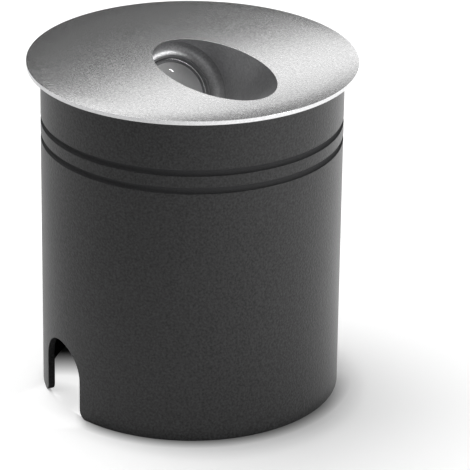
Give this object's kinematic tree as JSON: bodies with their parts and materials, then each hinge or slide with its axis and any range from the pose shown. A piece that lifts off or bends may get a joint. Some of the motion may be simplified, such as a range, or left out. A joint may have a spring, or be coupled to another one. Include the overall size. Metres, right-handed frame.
{
  "type": "recessed marker light",
  "caption": "Round recessed marker light: a brushed, domed face with an oblique light scoop and lens, push-fitted in a dark grooved mounting sleeve with a cable notch.",
  "frame": {"origin": "centre of the sleeve's bottom edge", "axes": "+Z along the sleeve's axis towards the face, +X the way the beam leaves at rest, -Y the side of the cable notch"},
  "size_m": [0.09, 0.09, 0.096],
  "materials": {
    "sleeve_coat": "fine satin dark grey powder coat",
    "turned_metal": "circular brushed",
    "black_rubber": "matt",
    "bright_ring": "polished",
    "lens_glass": "clear, polished",
    "clear_optic": "clear, moulded",
    "black_plastic": "moulded",
    "white_ceramic": "matt",
    "led_silicone": "clear over yellow",
    "led_board_white": "white solder mask",
    "grey_pad": "soft matt",
    "plain_aluminium": "machined",
    "cast_housing": "dark grey coat on cast metal",
    "steel_screw": "plain steel",
    "green_board": "green solder mask",
    "ferrite": "dark, sintered",
    "yellow_tape": "tape-wound",
    "capacitor_sleeve": "shrink sleeve",
    "film_yellow": "moulded",
    "chip_black": "moulded",
    "resistor_blue": "lacquered",
    "terminal_grey": "moulded",
    "red_insulation": "smooth",
    "black_insulation": "smooth",
    "gland_plastic": "moulded"
  },
  "bodies": {
    "sleeve": {"mounting_sleeve": "sleeve_coat"},
    "grip_rings": {"upper_grip_ring": "black_rubber", "lower_grip_ring": "black_rubber"},
    "lamp": {"lamp_head": "turned_metal", "lens_gasket": "black_rubber", "lens_bezel": "bright_ring", "front_lens": "lens_glass", "collimator": "clear_optic", "collimator_holder": "black_plastic", "led_package": "white_ceramic", "led_dome": "led_silicone", "led_board": "led_board_white", "thermal_pad": "grey_pad", "heat_sink_plug": "plain_aluminium", "can_gasket": "black_rubber", "driver_can": "cast_housing", "can_screws": "steel_screw", "screw_seals": "black_rubber", "driver_board": "green_board", "board_screws": "steel_screw", "transformer_core": "ferrite", "transformer_winding": "yellow_tape", "input_capacitor": "capacitor_sleeve", "output_capacitor": "capacitor_sleeve", "film_capacitor": "film_yellow", "filter_choke": "ferrite", "rectifier": "chip_black", "driver_chip": "chip_black", "fuse_resistor": "resistor_blue", "terminal_block": "terminal_grey", "terminal_screws": "steel_screw", "red_led_lead": "red_insulation", "black_led_lead": "black_insulation", "gland_body": "gland_plastic", "gland_ring": "black_rubber", "gland_seal": "black_rubber", "gland_nut": "gland_plastic"}
  },
  "joints": [
    {"name": "lamp_lift", "type": "slide", "parent": "sleeve", "child": "grip_rings", "axis": [0, 0, 1], "range_m": [0, 0.08]},
    {"name": "lamp_turn", "type": "hinge", "parent": "grip_rings", "child": "lamp", "pos_m": [0, 0, 0.089], "axis": [0, 0, 1], "range_deg": [-180, 180]}
  ]
}
